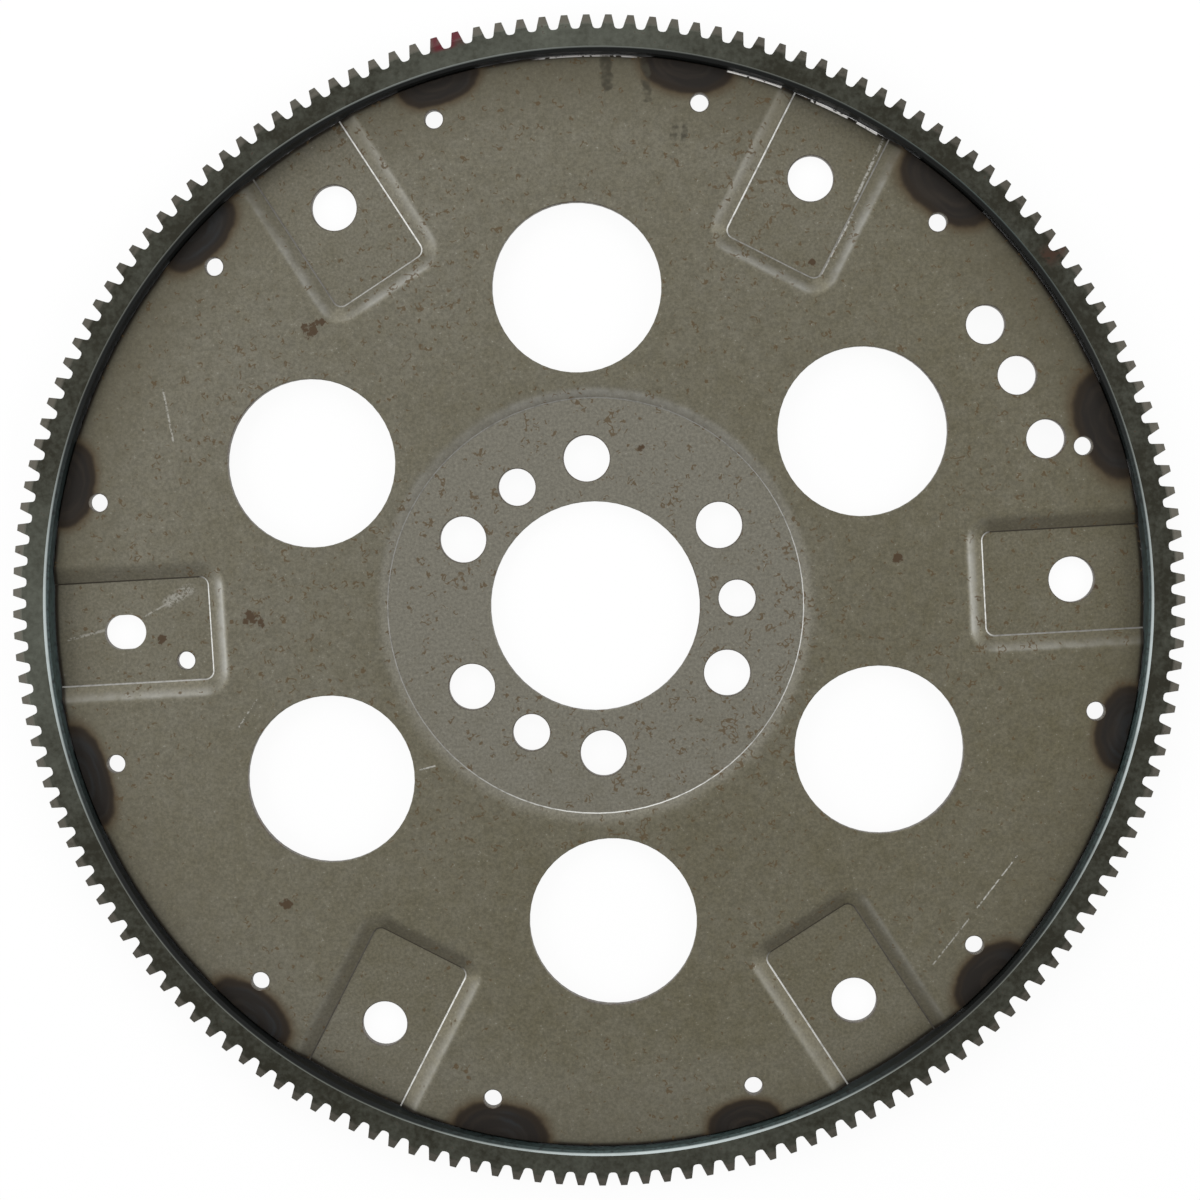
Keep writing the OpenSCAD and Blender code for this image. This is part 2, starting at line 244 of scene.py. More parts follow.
class RingFinish(bpy.types.PropertyGroup):
    """Finish of the starter ring."""
    oxide: colour_property("Oxide", "Colour of the ring's dark skin", (44, 43, 34))
    # Painted reflection on the turned face, also its paler mottle
    oxide_light: colour_property("Oxide sheen", "Colour where the face catches the light", (92, 95, 86))
    tooth_end: colour_property("Tooth ends", "Colour of the bevelled ends of the teeth", (82, 79, 71))
    wall: colour_property("Bore", "Colour of the wall inside the ring", (19, 21, 20))
    # Painted highlight on the bore's wall, also painted shade on the bevel at the upper right
    wall_light: colour_property("Lit bore", "Colour of the bore's wall where it is paler", (62, 76, 75))
    bevel: colour_property("Bore bevel", "Colour of the bore's bevel where it is dull", (102, 105, 99))
    # Painted highlight on the bevel
    bevel_bright: colour_property("Bright bevel", "Colour of painted highlights on the bevel", (190, 200, 200))
    paint: colour_property("Paint", "Colour of the dab of paint on the teeth", (84, 21, 31))
    rust: colour_property("Rust", "Colour of the rust on the ring", (58, 40, 29))
    bore_radius: length_property("Bore", "Radius of the ring's bore", 0.168)
    bevel_size: length_property("Bevel", "Size of the bevel on the bore's edge", 0.0013)
    front_height: length_property("Front", "Height of the ring's front face", 0.0109)
    root_radius: length_property("Root", "Radius of the tooth roots", 0.1745)
    lead_in_radius: length_property("Lead-in", "Radius at which the tooth ends start to fall away", 0.1759)
    lead_in_height: length_property("Lead-in height", "Height of the bevel on the tooth ends", 0.0012)
    paint_angle: FloatProperty(name="Paint place", description="Angle of the dab of paint",
                               subtype="ANGLE", default=math.radians(101.2))
    rust_angle: FloatProperty(name="Rust place", description="Angle of the rust patch",
                              subtype="ANGLE", default=math.radians(34.5))


class BeadFinish(bpy.types.PropertyGroup):
    """Finish of the weld beads."""
    metal: colour_property("Bead", "Colour of the weld metal", (92, 86, 80))
    scorched: colour_property("Scorched", "Colour of the heat stain on a bead", (48, 46, 52))


class StageLook(bpy.types.PropertyGroup):
    """Camera, lamps and floor."""
    floor: colour_property("Floor", "Colour of the floor", (244, 244, 244))
    lens: FloatProperty(name="Lens", description="Focal length on a 36 mm sensor", default=68.587)
    camera_place: FloatVectorProperty(name="Camera", description="Place of the camera",
                                      subtype="TRANSLATION", default=(0.0252987, 0.0341749, 0.7059))
    camera_right: FloatVectorProperty(name="Camera right", description="Direction to the image's right",
                                      default=(0.99786499, -0.05746205, -0.03104136))
    camera_up: FloatVectorProperty(name="Camera up", description="Direction to the image's top",
                                   default=(0.05593928, 0.99728553, -0.04787874))
    camera_back: FloatVectorProperty(name="Camera back", description="Direction from object to camera",
                                     default=(0.03370831, 0.04604009, 0.9983707))
    sky: FloatProperty(name="Sky", description="Strength of the even light from all round", default=0.6)
    key: FloatProperty(name="Key", description="Power of the large lamp at the image's top", default=7.0)
    side: FloatProperty(name="Sides", description="Power of each lamp at the sides", default=6.0)


# Node trees

class Tree:
    """Short ways to add nodes to one node tree."""

    def __init__(self, tree):
        self.tree = tree

    def add(self, kind, inputs=None, **settings):
        node = self.tree.nodes.new(kind)
        for name, value in settings.items():
            setattr(node, name, value)
        for key, value in (inputs or {}).items():
            self.feed(node.inputs[key], value)
        return node

    def feed(self, socket, value):
        if isinstance(value, bpy.types.NodeSocket):
            self.tree.links.new(value, socket)
        elif socket.type == "RGBA":
            socket.default_value = rgba(value) if len(value) == 3 else value
        else:
            socket.default_value = value

    def math(self, operation, a, b=0.0, c=0.0, clamp=False):
        node = self.add("ShaderNodeMath", operation=operation, use_clamp=clamp)
        for socket, value in zip(node.inputs, (a, b, c)):
            self.feed(socket, value)
        return node.outputs[0]

    def plus(self, a, b):
        return self.math("ADD", a, b)

    def minus(self, a, b):
        return self.math("SUBTRACT", a, b)

    def over(self, a, b):
        return self.math("DIVIDE", a, b)

    def line(self, value, slope, start, clamp=False):
        """The value times the slope, plus the start."""
        return self.math("MULTIPLY_ADD", value, slope, start, clamp)

    def times(self, *values):
        product = values[0]
        for value in values[1:]:
            product = self.math("MULTIPLY", product, value)
        return product

    def highest(self, *values):
        top = values[0]
        for value in values[1:]:
            top = self.math("MAXIMUM", top, value)
        return top

    def vector(self, operation, a, b=None, scale=None, out=0):
        """An output of a vector node: 0 for its vector, 1 for its number."""
        node = self.add("ShaderNodeVectorMath", operation=operation)
        self.feed(node.inputs[0], a)
        if b is not None:
            self.feed(node.inputs[1], b)
        if scale is not None:
            self.feed(node.inputs["Scale"], scale)
        return node.outputs[out]

    def ease(self, value, low, high, to_low=0.0, to_high=1.0):
        """Runs smoothly from one number to another while the value runs from low to high."""
        node = self.add("ShaderNodeMapRange", interpolation_type="SMOOTHSTEP")
        for name, number in zip(("Value", "From Min", "From Max", "To Min", "To Max"),
                                (value, low, high, to_low, to_high)):
            self.feed(node.inputs[name], number)
        return node.outputs["Result"]

    def fade(self, value, low, high, strength=1.0):
        """Runs smoothly down to 0 while the value runs from low to high."""
        return self.ease(value, low, high, strength, 0.0)

    def mix(self, share, a, b, blend="MIX"):
        node = self.add("ShaderNodeMix", data_type="RGBA", blend_type=blend, clamp_factor=True)
        self.feed(node.inputs[0], share)
        self.feed(node.inputs[6], a)
        self.feed(node.inputs[7], b)
        return node.outputs[2]

    def grey(self, value):
        """The same number in all three channels."""
        return self.add("ShaderNodeCombineColor", {0: value, 1: value, 2: value}).outputs[0]

    def attribute(self, name):
        return self.add("ShaderNodeAttribute", attribute_name=name).outputs["Fac"]

    def noise(self, spot, size, detail=2.0, rough=0.5):
        """Noise whose lumps are about the given size in millimetres; the spot is in millimetres too."""
        node = self.add("ShaderNodeTexNoise", {"Vector": spot, "Scale": 1.0 / size, "Detail": detail,
                                               "Roughness": rough})
        return node.outputs["Fac"]

    def place(self):
        """Object coordinates in millimetres, their parts, the radius and the angle in radians."""
        spot = self.vector("SCALE", self.add("ShaderNodeTexCoord").outputs["Object"], scale=1 / MM)
        x, y, z = self.add("ShaderNodeSeparateXYZ", {"Vector": spot}).outputs
        radius = self.math("SQRT", self.line(x, x, self.times(y, y)))
        return SimpleNamespace(spot=spot, x=x, y=y, z=z, radius=radius, angle=self.math("ARCTAN2", y, x))

    def near(self, angle, degrees, half, soft=1.0):
        """1 where the angle is as given, and down to 0 at a number of degrees to either side of it."""
        from_far = self.minus(angle, math.radians(degrees - 180))
        turned = self.math("FLOORED_MODULO", from_far, math.tau)
        off = self.math("ABSOLUTE", self.minus(turned, math.pi))
        return self.fade(off, math.radians(half * (1 - soft)), math.radians(half))

    def stretches(self, angle, rows):
        """The strongest of a list of stretches round the axis."""
        return self.highest(*(self.times(self.near(angle, degrees, half, soft), strength)
                              for degrees, half, soft, strength in rows))


def new_material(name):
    material = bpy.data.materials.new(name)
    material.use_nodes = True
    material.node_tree.nodes.clear()
    return material, Tree(material.node_tree)


def finish_material(tree, colour, metallic, roughness, height, bump_strength, bump_distance, gloss=0.5):
    """Joins colour, metal, roughness, bump and gloss in one surface."""
    surface = tree.add("ShaderNodeBsdfPrincipled", {"Base Color": colour, "Metallic": metallic,
                                                    "Roughness": roughness, "Specular IOR Level": gloss})
    bump = tree.add("ShaderNodeBump", {"Height": height, "Strength": bump_strength,
                                       "Distance": bump_distance})
    tree.feed(surface.inputs["Normal"], bump.outputs[0])
    output = tree.add("ShaderNodeOutputMaterial")
    tree.feed(output.inputs["Surface"], surface.outputs[0])


# Marks at given places on the disc

def mask_group(name, inputs):
    """A new node group that gives a mask: the group, its tree and what is fed to it."""
    group = bpy.data.node_groups.new(name, "ShaderNodeTree")
    for label, kind in inputs:
        group.interface.new_socket(label, in_out="INPUT", socket_type=kind)
    group.interface.new_socket("Mask", in_out="OUTPUT", socket_type="NodeSocketFloat")
    tree = Tree(group)
    return group, tree, tree.add("NodeGroupInput").outputs


def flattened(tree, spot):
    return tree.vector("MULTIPLY", spot, (1.0, 1.0, 0.0))


def stroke_group():
    """A node group that gives how close a spot is to a straight stroke."""
    group, tree, given = mask_group("stroke", (
        ("Place", "NodeSocketVector"), ("Start", "NodeSocketVector"),
        ("End", "NodeSocketVector"), ("Width", "NodeSocketFloat")))
    run = tree.vector("SUBTRACT", given["End"], given["Start"])
    away = tree.vector("SUBTRACT", flattened(tree, given["Place"]), given["Start"])
    along = tree.math("DIVIDE", tree.vector("DOT_PRODUCT", away, run, out=1),
                      tree.vector("DOT_PRODUCT", run, run, out=1), clamp=True)
    aside = tree.vector("SUBTRACT", away, tree.vector("SCALE", run, scale=along))
    mask = tree.fade(tree.vector("LENGTH", aside, out=1), tree.times(given["Width"], 0.3), given["Width"])
    tree.feed(tree.add("NodeGroupOutput").inputs["Mask"], mask)
    return group


def spot_group():
    """A node group that gives how far inside a round spot a place is."""
    group, tree, given = mask_group("spot", (
        ("Place", "NodeSocketVector"), ("Middle", "NodeSocketVector"), ("Radius", "NodeSocketFloat")))
    off = tree.vector("DISTANCE", flattened(tree, given["Place"]), given["Middle"], out=1)
    mask = tree.fade(tree.over(off, given["Radius"]), 0.2, 1.0)
    tree.feed(tree.add("NodeGroupOutput").inputs["Mask"], mask)
    return group


def strokes(tree, at, group, rows):
    """The strongest of a list of straight strokes."""
    masks = []
    for x0, y0, x1, y1, width, strength in rows:
        node = tree.add("ShaderNodeGroup", node_tree=group)
        tree.feed(node.inputs["Place"], at.spot)
        node.inputs["Start"].default_value = (x0, y0, 0.0)
        node.inputs["End"].default_value = (x1, y1, 0.0)
        node.inputs["Width"].default_value = width
        masks.append(tree.times(node.outputs[0], strength))
    return tree.highest(*masks)


def spots(tree, at, rows):
    """The strongest of a list of round spots."""
    group = spot_group()
    masks = []
    for x, y, size in rows:
        node = tree.add("ShaderNodeGroup", node_tree=group)
        tree.feed(node.inputs["Place"], at.spot)
        node.inputs["Middle"].default_value = (x, y, 0.0)
        node.inputs["Radius"].default_value = size
        masks.append(node.outputs[0])
    return tree.highest(*masks)


def heat_marks(tree, at, finish):
    """Distance from the middle of the nearest heat mark, 1 on its outline."""
    turn = tree.math("FLOORED_MODULO", at.angle, math.tau)
    table = tree.add("ShaderNodeValToRGB", {"Fac": tree.over(turn, math.tau)})
    table.color_ramp.interpolation = "CONSTANT"
    stops = table.color_ramp.elements
    for k, (degrees, length, depth) in enumerate(HEAT_MARKS):
        stop = stops.new(k / len(HEAT_MARKS)) if k else stops[0]
        stop.color = (0.5 + degrees / TURN_RANGE, length / SIZE_RANGE, depth / SIZE_RANGE, 1.0)
    own = tree.add("ShaderNodeSeparateColor", {"Color": table.outputs["Color"]}).outputs
    step = math.tau / len(HEAT_MARKS)
    middle = tree.line(own["Red"], math.radians(TURN_RANGE), step / 2 - math.radians(TURN_RANGE / 2))
    off = tree.times(tree.minus(tree.math("FLOORED_MODULO", turn, step), middle), at.radius)
    sway = tree.minus(tree.noise(at.spot, 17.0, 0.0), 0.5)
    half = tree.line(sway, 3.0, tree.times(own["Green"], SIZE_RANGE))
    deep = tree.line(sway, 1.5, tree.times(own["Blue"], SIZE_RANGE))
    along = tree.math("POWER", tree.math("ABSOLUTE", tree.over(off, half)), 2.3)
    inward = tree.highest(tree.minus(finish.rim_radius / MM, at.radius), 0.0)
    across = tree.math("POWER", tree.over(inward, deep), 2.0)
    wobble = tree.minus(tree.noise(at.spot, 4.0), 0.5)
    return tree.line(wobble, 0.14, tree.math("SQRT", tree.plus(along, across)))


def rim_band(tree, at, finish, band, strength=1.0):
    """A band along the rim, which starts and is full at two distances inside it."""
    rim = finish.rim_radius / MM
    start, full = band
    return tree.ease(at.radius, rim - start, rim - full, 0.0, strength)


def rim_slits(tree, at, finish):
    """Where light through the gap at the rim is painted: two stretches of the web and two of a pad."""
    start, full = SLIT_DEPTHS
    masks = []
    for rows, height in ((WEB_SLITS, finish.web_height), (PAD_SLITS, finish.pad_height)):
        at_face = tree.ease(at.z, height / MM - start, height / MM - full)
        masks.append(tree.times(tree.stretches(at.angle, rows), at_face))
    return tree.highest(*masks)


# Layers of the disc's finish

def disc_place(tree):
    """A place on the disc, the noises there, and how much it faces the front."""
    at = tree.place()
    at.clouds = tree.noise(at.spot, 40.0)
    at.mottle = tree.noise(at.spot, 5.0, rough=0.6)
    at.grain = tree.noise(at.spot, 0.9, rough=0.7)
    at.fine = tree.noise(at.spot, 1.9, detail=1.0)
    at.gate = tree.noise(at.spot, 3.1, detail=1.0)
    normal = tree.add("ShaderNodeTexCoord").outputs["Normal"]
    at.facing = tree.ease(tree.add("ShaderNodeSeparateXYZ", {"Vector": normal}).outputs["Z"], 0.0, 0.3)
    return at


def bare_sheet(tree, at, finish):
    """Sheet: paler at the upper left with painted shade towards the lower right, paler on the hub, with a
    painted highlight low on the rim, clouds, mottle and grain.
    """
    hub = finish.hub_radius / MM
    # Painted shade: darker towards the lower right
    lean = tree.line(tree.minus(at.y, at.x), 0.0011, 0.38)
    on_hub = tree.fade(at.radius, hub, hub + 5.0, 0.64)
    cloudy = tree.line(tree.plus(at.clouds, at.mottle), 0.55, -0.55)
    # Painted highlight: paler near the rim at the bottom
    low_rim_light = tree.times(tree.ease(at.radius, *PALE_RADII), tree.fade(at.y, *PALE_YS, 0.3))
    shade = tree.math("ADD", tree.plus(lean, on_hub), tree.plus(cloudy, low_rim_light), clamp=True)
    colour = tree.mix(shade, finish.steel_dark, finish.steel)
    colour = tree.mix(1.0, colour, tree.grey(tree.ease(at.grain, 0.25, 0.75, 0.80, 1.20)), "MULTIPLY")
    return tree.mix(tree.ease(at.grain, 0.68, 0.78, 0.0, 0.5), colour, finish.burnish_and_highlight)


def slope_light_and_shade(tree, at, finish, colour):
    """Pressed slopes: a burnished shoulder with a painted highlight on its ridge, and painted shade on the
    wall below it, where the mesh says so.
    """
    web = finish.web_height / MM
    pad = finish.pad_height / MM
    # Painted highlight on the shoulder's ridge
    ridge = tree.times(tree.ease(at.z, pad + 1.2, web - 0.4), tree.fade(at.z, web - 0.4, web - 0.02))
    patchy = tree.ease(tree.plus(at.mottle, at.clouds), 0.75, 1.15, 0.45, 1.0)
    colour = tree.mix(tree.times(tree.attribute("rubbed"), ridge, patchy), colour, finish.burnish_and_highlight)
    # Painted shade on the wall below it
    wall = tree.times(tree.ease(at.z, pad + 0.1, pad + 0.8), tree.fade(at.z, web - 1.2, web - 0.1))
    return tree.mix(tree.times(tree.attribute("dull"), wall), colour, finish.edge_shade)


def rim_darkening_and_shade(tree, at, finish, colour):
    """Darker and browner towards the rim, painted shade on its last millimetres and a painted shadow line
    along its edge.
    """
    outward = tree.ease(tree.line(at.clouds, 12.0, at.radius), *DARKENING_RADII)
    darkening = tree.times(outward, tree.ease(at.z, *DARKENING_ZS, 0.25, 0.6), tree.ease(at.y, *DARKENING_YS, 0.45, 1.0))
    colour = tree.mix(darkening, colour, finish.rim_brown)
    # Painted shade on the last millimetres, next to the ring
    patchy = tree.ease(at.mottle, 0.3, 0.6, 0.5, 1.0)
    gap_shade = tree.times(rim_band(tree, at, finish, GAP_SHADE_BAND, 0.7), patchy)
    colour = tree.mix(gap_shade, colour, finish.soot_and_shade)
    # Painted shadow: a dark line along the rim's edge
    return tree.mix(rim_band(tree, at, finish, SHADOW_LINE_BAND, 0.8), colour, finish.heat_line_and_shadow)


def rust_layer(tree, at, finish, colour):
    """Short worms and specks in loose clouds, and some larger spots; the colour and the share of rust."""
    low = tree.times(tree.ease(at.y, *RUSTY_YS, -0.05, 0.0), tree.ease(at.radius, *RUSTY_RADII, -1.0, 1.0))
    crowd = tree.plus(tree.line(at.clouds, 0.38, at.gate), low)
    off_line = tree.math("ABSOLUTE", tree.minus(at.fine, 0.5))
    worm = tree.times(tree.fade(off_line, 0.03, 0.07), tree.ease(crowd, 0.80, 0.87))
    speck = tree.ease(tree.line(crowd, 0.25, at.fine), 0.92, 0.97)
    speckled = tree.times(tree.highest(worm, speck), 0.78)
    core = tree.times(spots(tree, at, RUST_SPOTS), at.facing)
    torn = tree.line(tree.minus(tree.plus(at.grain, at.fine), 1.0), 1.9, core)
    spot = tree.times(tree.ease(torn, 0.36, 0.80, 0.0, 0.95), tree.ease(core, 0.0, 0.12))
    colour = tree.mix(speckled, colour, finish.rust)
    colour = tree.mix(spot, colour, finish.rust_dark)
    return colour, tree.highest(speckled, spot)


def heat_layer(tree, at, finish, colour):
    """Heat marks beside the welds; the colour and the share of burnt steel."""
    reach = heat_marks(tree, at, finish)
    halo = tree.fade(reach, 0.98, 1.45, 0.95)
    inside = tree.fade(reach, 0.80, 1.10)
    outline = tree.times(tree.ease(reach, 0.74, 0.98, 0.0, 0.8), tree.fade(reach, 1.0, 1.16))
    swirl = tree.add("ShaderNodeCombineXYZ", {"X": tree.times(reach, 5.0), "Y": tree.times(at.angle, 9.0)})
    arcs = tree.ease(tree.noise(swirl.outputs[0], 1.0, detail=1.0), 0.40, 0.75, 0.0, 0.4)
    temper = tree.mix(tree.ease(at.clouds, 0.48, 0.56), finish.heat_arc, finish.heat_blue)
    colour = tree.mix(halo, colour, finish.heat_halo)
    colour = tree.mix(inside, colour, tree.mix(arcs, finish.heat, temper))
    colour = tree.mix(outline, colour, finish.heat_line_and_shadow)
    return colour, tree.highest(inside, tree.times(halo, 0.6))


def slit_layer(tree, at, finish, colour):
    """Painted light: pale dashes along the rim where light comes through the gap; the colour and the share of
    them.
    """
    dashes = tree.times(rim_band(tree, at, finish, SLIT_BAND), tree.ease(at.fine, 0.38, 0.44))
    slit = tree.times(rim_slits(tree, at, finish), dashes, at.facing)
    return tree.mix(slit, colour, finish.slit), slit


def stroke_layer(tree, at, finish, colour):
    """Ragged smudges of soot and broken scratches."""
    group = stroke_group()
    soft = strokes(tree, at, group, SMUDGES)
    ragged = tree.line(tree.minus(tree.plus(at.mottle, at.fine), 1.0), 1.6, soft)
    smudge = tree.times(tree.ease(ragged, 0.15, 1.05, 0.0, 0.85), tree.ease(soft, 0.0, 0.15))
    colour = tree.mix(tree.times(smudge, at.facing), colour, finish.soot_and_shade)
    broken = tree.ease(tree.line(at.fine, 0.5, at.grain), 0.62, 0.85)
    scratch = tree.times(strokes(tree, at, group, SCRATCHES), broken, at.facing)
    return tree.mix(scratch, colour, finish.bright)


# Materials

def plate_steel(finish):
    """Cold-rolled sheet: cloudy olive grey, fine grain, rust specks, heat marks, scratches."""
    material, tree = new_material("plate_steel")
    at = disc_place(tree)
    colour = bare_sheet(tree, at, finish)
    colour = slope_light_and_shade(tree, at, finish, colour)
    colour = rim_darkening_and_shade(tree, at, finish, colour)
    colour, rust = rust_layer(tree, at, finish, colour)
    colour, burnt = heat_layer(tree, at, finish, colour)
    colour, slit = slit_layer(tree, at, finish, colour)
    colour = stroke_layer(tree, at, finish, colour)
    dead = tree.highest(burnt, rust, slit)
    rough = tree.plus(tree.line(at.mottle, 0.16, finish.roughness - 0.08), tree.times(dead, 0.12))
    finish_material(tree, colour, tree.line(dead, -0.4, 0.42), rough, at.grain,
                    bump_strength=0.3, bump_distance=4e-5, gloss=0.25)
    return material


def pressed_edge(finish):
    """The sharp edge round a pressed floor: burnished, with painted highlight where the mesh says so and
    painted shade elsewhere.
    """
    material, tree = new_material("pressed_edge")
    sheen_and_mottle = tree.noise(tree.place().spot, 1.8)
    # Painted highlight where the shine is high, painted shade where it is low
    share = tree.times(tree.attribute("shine"), tree.ease(sheen_and_mottle, 0.25, 0.55, 0.6, 1.0))
    colour = tree.mix(share, finish.edge_shade, finish.bright)
    finish_material(tree, colour, tree.line(share, -0.3, 0.35), tree.line(share, -0.15, 0.5), sheen_and_mottle,
                    bump_strength=0.25, bump_distance=4e-5)
    return material


def cut_edge(finish):
    """Punched walls: grey, torn in streaks through the sheet, a little rust; painted shade at the rim, with
    painted light in the slits.
    """
    material, tree = new_material("cut_edge")
    at = tree.place()
    streaks = tree.noise(tree.vector("MULTIPLY", at.spot, (1.0, 1.0, 0.12)), 0.5, detail=1.0)
    colour = tree.mix(tree.ease(streaks, 0.3, 0.7), scaled(finish.cut, 0.62), finish.cut)
    rusty = tree.ease(tree.noise(at.spot, 2.4, detail=1.0), 0.60, 0.72, 0.0, 0.6)
    colour = tree.mix(rusty, colour, finish.rust)
    # Painted shade on the rim's cut edge, next to the ring
    at_rim = rim_band(tree, at, finish, EDGE_BAND)
    colour = tree.mix(tree.times(at_rim, 0.85), colour, finish.heat_line_and_shadow)
    # Painted light in the slits
    slit = tree.times(rim_slits(tree, at, finish), at_rim)
    colour = tree.mix(tree.times(slit, tree.ease(streaks, 0.3, 0.42)), colour, finish.slit)
    finish_material(tree, colour, tree.line(slit, -0.4, 0.4), 0.5, streaks,
                    bump_strength=0.35, bump_distance=5e-5)
    return material


def bore_colour(tree, at, finish, step):
    """The wall of the bore and the bevel above it, with painted highlights on three stretches, a painted
    highlight at the top and painted shade at the upper right; step is how far out it is.
    """
    # Painted highlights on three stretches, a paler painted highlight at the top
    bare = tree.stretches(at.angle, LIT_BEVEL)
    pale = tree.stretches(at.angle, PALE_BEVEL)
    start = tree.line(bare, -0.42, tree.line(pale, -0.12, 1.05))
    on_bevel = tree.ease(tree.minus(step, start), -0.22, 0.20)
    wall = tree.mix(tree.times(bare, tree.ease(at.mottle, 0.2, 0.6)), finish.wall, finish.wall_light)
    shiny = tree.times(bare, tree.ease(at.clouds, 0.25, 0.5, 0.75, 1.0))
    bevel = tree.mix(shiny, finish.bevel, finish.bevel_bright)
    bevel = tree.mix(tree.times(pale, 0.18), bevel, finish.bevel_bright)
    # Painted shade on the bevel at the upper right
    bevel = tree.mix(tree.stretches(at.angle, SHADED_BEVEL), bevel, finish.wall_light)
    return tree.mix(on_bevel, wall, bevel)


def ring_oxide(finish):
    """Hardened ring: oxide skin with painted reflections, painted highlights on the bevel round the bore,
    paler tooth ends, a dab of paint, some rust.
    """
    material, tree = new_material("ring_oxide")
    at = tree.place()
    at.clouds = tree.noise(at.spot, 9.0, rough=0.6)
    at.mottle = tree.noise(at.spot, 1.6, rough=0.65)
    front = finish.front_height / MM
    bevel = finish.bevel_size / MM
    root = finish.root_radius / MM
    lead_in = finish.lead_in_radius / MM
    lead_in_foot = front - finish.lead_in_height / MM

    # The turned front face, with painted reflections that make it paler at the top and at the left
    skin = tree.line(tree.plus(at.mottle, at.clouds), 0.8, -0.68)
    sheen_and_mottle = tree.line(tree.stretches(at.angle, LIT_FACE), 0.55, skin, clamp=True)
    colour = tree.mix(sheen_and_mottle, finish.oxide, finish.oxide_light)

    # The bevelled ends of the teeth
    ends = tree.times(tree.ease(at.radius, lead_in - 0.2, lead_in + 0.9),
                      tree.ease(at.z, lead_in_foot - 0.3, lead_in_foot))
    patchy = tree.ease(at.mottle, 0.25, 0.55, 0.5, 1.0)
    colour = tree.mix(tree.times(ends, patchy), colour, finish.tooth_end)

    # The bore, with painted highlights and painted shade
    step = tree.minus(at.radius, finish.bore_radius / MM)
    inner = tree.fade(step, bevel - 0.04, bevel + 0.02)
    colour = tree.mix(inner, colour, bore_colour(tree, at, finish, step))

    # Rust and paint, on the face and the teeth
    patch = tree.times(tree.near(at.angle, math.degrees(finish.rust_angle), 1.5),
                       tree.ease(at.mottle, 0.36, 0.50), tree.ease(at.radius, root - 4.0, root - 2.5))
    specks = tree.times(tree.ease(at.mottle, 0.66, 0.74, 0.0, 0.7), tree.ease(at.clouds, 0.45, 0.6))
    rust = tree.times(tree.highest(patch, specks), tree.minus(1.0, inner))
    colour = tree.mix(rust, colour, finish.rust)
    dab = tree.times(tree.near(at.angle, math.degrees(finish.paint_angle), 2.2, 0.5),
                     tree.ease(at.radius, root - 0.8, root + 0.6),
                     tree.ease(at.clouds, 0.30, 0.45), tree.ease(at.z, front - 3.5, front - 1.5))
    colour = tree.mix(dab, colour, finish.paint)

    metallic = tree.times(tree.minus(1.0, tree.highest(rust, dab, inner)), 0.4)
    finish_material(tree, colour, metallic, tree.line(at.mottle, 0.2, 0.36), at.mottle,
                    bump_strength=0.35, bump_distance=6e-5, gloss=0.2)
    return material


def weld_metal(finish):
    """Weld metal: scaly, with blue-black stains and paler crests."""
    material, tree = new_material("weld_metal")
    spot = tree.place().spot
    scale = tree.noise(spot, 1.2, detail=3.0, rough=0.65)
    stain = tree.noise(spot, 5.0)
    colour = tree.mix(tree.ease(stain, 0.35, 0.65), finish.scorched, finish.metal)
    colour = tree.mix(tree.ease(scale, 0.58, 0.72, 0.0, 0.7), colour, scaled(finish.metal, 1.5))
    finish_material(tree, colour, 0.6, tree.line(scale, 0.25, 0.32), scale,
                    bump_strength=0.5, bump_distance=1e-4)
    return material


# Pieces

def merged_copy(node, name, sharp_degrees):
    """A copy of a node's mesh with its seams merged and its round stretches shaded smooth."""
    mesh = bpy.data.meshes.new(name)
    shell = bmesh.new()
    shell.from_mesh(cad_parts[node].data)
    bmesh.ops.remove_doubles(shell, verts=shell.verts[:], dist=SEAM)
    bmesh.ops.dissolve_degenerate(shell, edges=shell.edges[:], dist=SLIVER)
    shell.normal_update()
    for face in shell.faces:
        face.smooth = True
    for edge in shell.edges:
        edge.smooth = edge.is_manifold and edge.calc_face_angle(0.0) < math.radians(sharp_degrees)
    shell.to_mesh(mesh)
    shell.free()
    piece = bpy.data.objects.new(name, mesh)
    bpy.context.scene.collection.objects.link(piece)
    return piece


def even_normals(piece):
    """Keeps flat faces flat where they run into round ones."""
    modifier = piece.modifiers.new("flat faces", "WEIGHTED_NORMAL")
    modifier.keep_sharp = True
    modifier.weight = 100


def by_side(table, middle, normal, fade=0):
    """A pad's value from a table, on the side that faces along the normal, less in the corners."""
    angle = round(math.degrees(math.atan2(middle.y, middle.x)) / PAD_STEP) * PAD_STEP % 360
    faces = Matrix.Rotation(-math.radians(angle), 3, "Z") @ normal
    weights = (max(faces.x, 0.0), max(-faces.y, 0.0), max(faces.y, 0.0))
    total = sum(weights) or 1.0
    value = sum(w * s for w, s in zip(weights, table[angle])) / total
    return value * (max(weights) / total) ** fade


def hub_top(place):
    """How much a place on the hub's wall belongs to the picture's top, where the wall gets painted highlight
    and painted shade.
    """
    return max(0.0, math.sin(math.atan2(place.y, place.x))) ** HUB_NARROWNESS


def hub_shine(middle):
    """How bright the painted highlight on the hub's pressed edge is: most at the bottom and at the right,
    least at the left.
    """
    angle = math.atan2(middle.y, middle.x)
    glints = [strength * max(0.0, math.cos(angle - math.radians(degrees))) ** narrowness
              for degrees, narrowness, strength in HUB_GLINTS]
    return HUB_SHINE + HUB_GAIN * max(glints)


